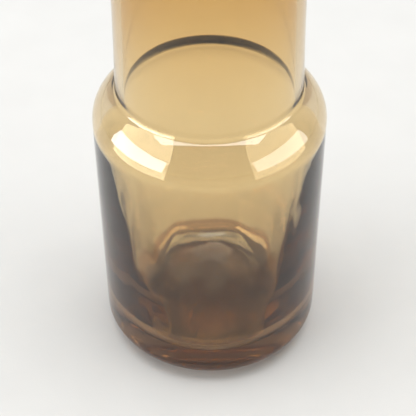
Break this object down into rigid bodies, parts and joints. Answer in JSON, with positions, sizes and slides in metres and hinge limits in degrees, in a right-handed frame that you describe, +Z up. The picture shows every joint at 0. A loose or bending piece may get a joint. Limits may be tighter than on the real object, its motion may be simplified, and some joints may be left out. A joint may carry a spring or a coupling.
{
  "type": "glass bud vase",
  "caption": "Shouldered vase blown in one piece of amber glass: heavy cylindrical body, rounded shoulder and wide open neck.",
  "frame": {"origin": "on the vase's axis, in the plane that its foot stands on", "axes": "+Z up along the vase's axis, from the foot to the open mouth; the vase is round, so X and Y are any two level directions"},
  "size_m": [0.08, 0.08, 0.2],
  "materials": {
    "amber_glass": "fire-polished clear amber soda-lime glass"
  },
  "bodies": {
    "root": {"glass_vessel": "amber_glass"}
  },
  "joints": []
}
